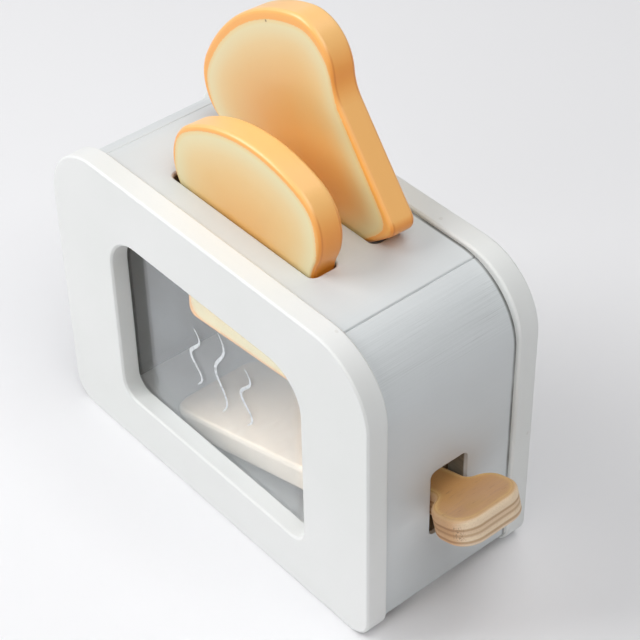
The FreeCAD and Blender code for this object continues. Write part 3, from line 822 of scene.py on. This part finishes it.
# %% One finish for each piece
FINISHES = {
    "front_panel": WHITE_PAINT, "back_panel": WHITE_PAINT,
    "top_board": GREY_PAINT, "left_side": GREY_PAINT, "right_side": GREY_PAINT,
    "window_pane": CLEAR_ACRYLIC, "lever_board": PLYWOOD,
    "front_slice": FRONT_TOAST, "back_slice": BACK_TOAST,
    "pivot_rod": STEEL, "front_spacer": BEECH, "back_spacer": BEECH,
    "front_dowels": BEECH, "back_dowels": BEECH,
}
for name, finish in FINISHES.items():
    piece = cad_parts[name]
    piece.data.materials.clear()
    piece.data.materials.append(finish)
print("finished nodes:", len(FINISHES), "of", len(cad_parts))

# %% [markdown]
# ## Floor
# The toy stands on a plain pale floor. A backdrop that curves up is the usual way to
# hide the horizon. From a camera that looks down, one flat face that runs far beyond
# the view does the same.

# %% Floor
def floor_finish():
    material, base = new_finish("pale floor")
    tone = noise(point_in(base), 3, detail=2)
    color = blend_colors(tone, rgb(238, 238, 240), rgb(240, 240, 242))
    close_finish(base, color, 0.6 + 0.1 * tone)
    return material


FLOOR_REACH = 4.0
floor_corners = [(x * FLOOR_REACH, y * FLOOR_REACH, 0)
                 for x, y in ((-1, -1), (1, -1), (1, 1), (-1, 1))]
floor = add_piece("floor", floor_corners, [(0, 1, 2, 3)], floor_finish())
print("floor side:", 2 * FLOOR_REACH, "m")

# %% [markdown]
# ## Light
# A soft box stands high at the left front, so the toy's shadow falls softly to the
# right. Three weaker lamps above, behind and in front fill the dark sides. A bright sky
# would be simpler, but its light comes from everywhere and leaves hardly a shadow. So
# the sky gives no light: it is only seen, white, past the floor and in what mirrors it.

# %% Lamps and sky
LAMP_AIM = Vector((0.0, 0.0, 0.08))


def add_lamp(name, place, size, power):
    """Square area lamp that faces a point of the toy."""
    data = bpy.data.lights.new(name, "AREA")
    data.size, data.energy = size, power
    lamp = bpy.data.objects.new(name, data)
    lamp.location = place
    lamp.rotation_euler = (LAMP_AIM - Vector(place)).to_track_quat("-Z", "Y").to_euler()
    bpy.context.scene.collection.objects.link(lamp)


add_lamp("soft box", (-1.22, -1.10, 1.40), 1.3, 30.4)
add_lamp("ceiling", (0.88, -0.05, 1.92), 1.5, 21.5)
add_lamp("back light", (-0.30, 0.70, 2.00), 1.4, 8.0)
add_lamp("front light", (0.40, -1.90, 0.95), 1.4, 7.6)

world = bpy.data.worlds.new("pale sky")
bpy.context.scene.world = world
world.use_nodes = True
world.node_tree.nodes.clear()
sky = Signal(world.node_tree)
seen = sky.node("ShaderNodeLightPath", output="Is Camera Ray")
seen = seen.most(sky.node("ShaderNodeLightPath", output="Is Glossy Ray"))
seen = seen.most(sky.node("ShaderNodeLightPath", output="Is Transmission Ray"))
glow = sky.node("ShaderNodeBackground", None,
                {"Color": (1, 1, 1, 1), "Strength": seen})
sky.node("ShaderNodeOutputWorld", None, {"Surface": glow})

# %% [markdown]
# ## Camera
# A long lens from high at the right front, as a product picture is taken. The camera
# starts looking straight down, is tipped up, turned about the vertical and rolled by a
# degree. A constraint could aim it, but three turns written one after the other also
# hold the roll.

# %% Camera
LENS, SENSOR_WIDTH = 108.47, 36
CAMERA_PLACE = (CASE_X + 0.45686, -0.36347, 0.58240)
YAW, DOWN, ROLL = (math.radians(angle) for angle in (50.206, 40.809, -1.162))

bpy.context.scene.view_settings.view_transform = "Standard"
camera_data = bpy.data.cameras.new("camera")
camera_data.lens = LENS
camera_data.sensor_width = SENSOR_WIDTH
camera = bpy.data.objects.new("camera", camera_data)
camera.matrix_world = (Matrix.Translation(CAMERA_PLACE)
                       @ Matrix.Rotation(YAW, 4, "Z")
                       @ Matrix.Rotation(math.pi / 2 - DOWN, 4, "X")
                       @ Matrix.Rotation(ROLL, 4, "Z"))
bpy.context.scene.collection.objects.link(camera)
bpy.context.scene.camera = camera
print("camera at", tuple(round(value, 3) for value in camera.location))
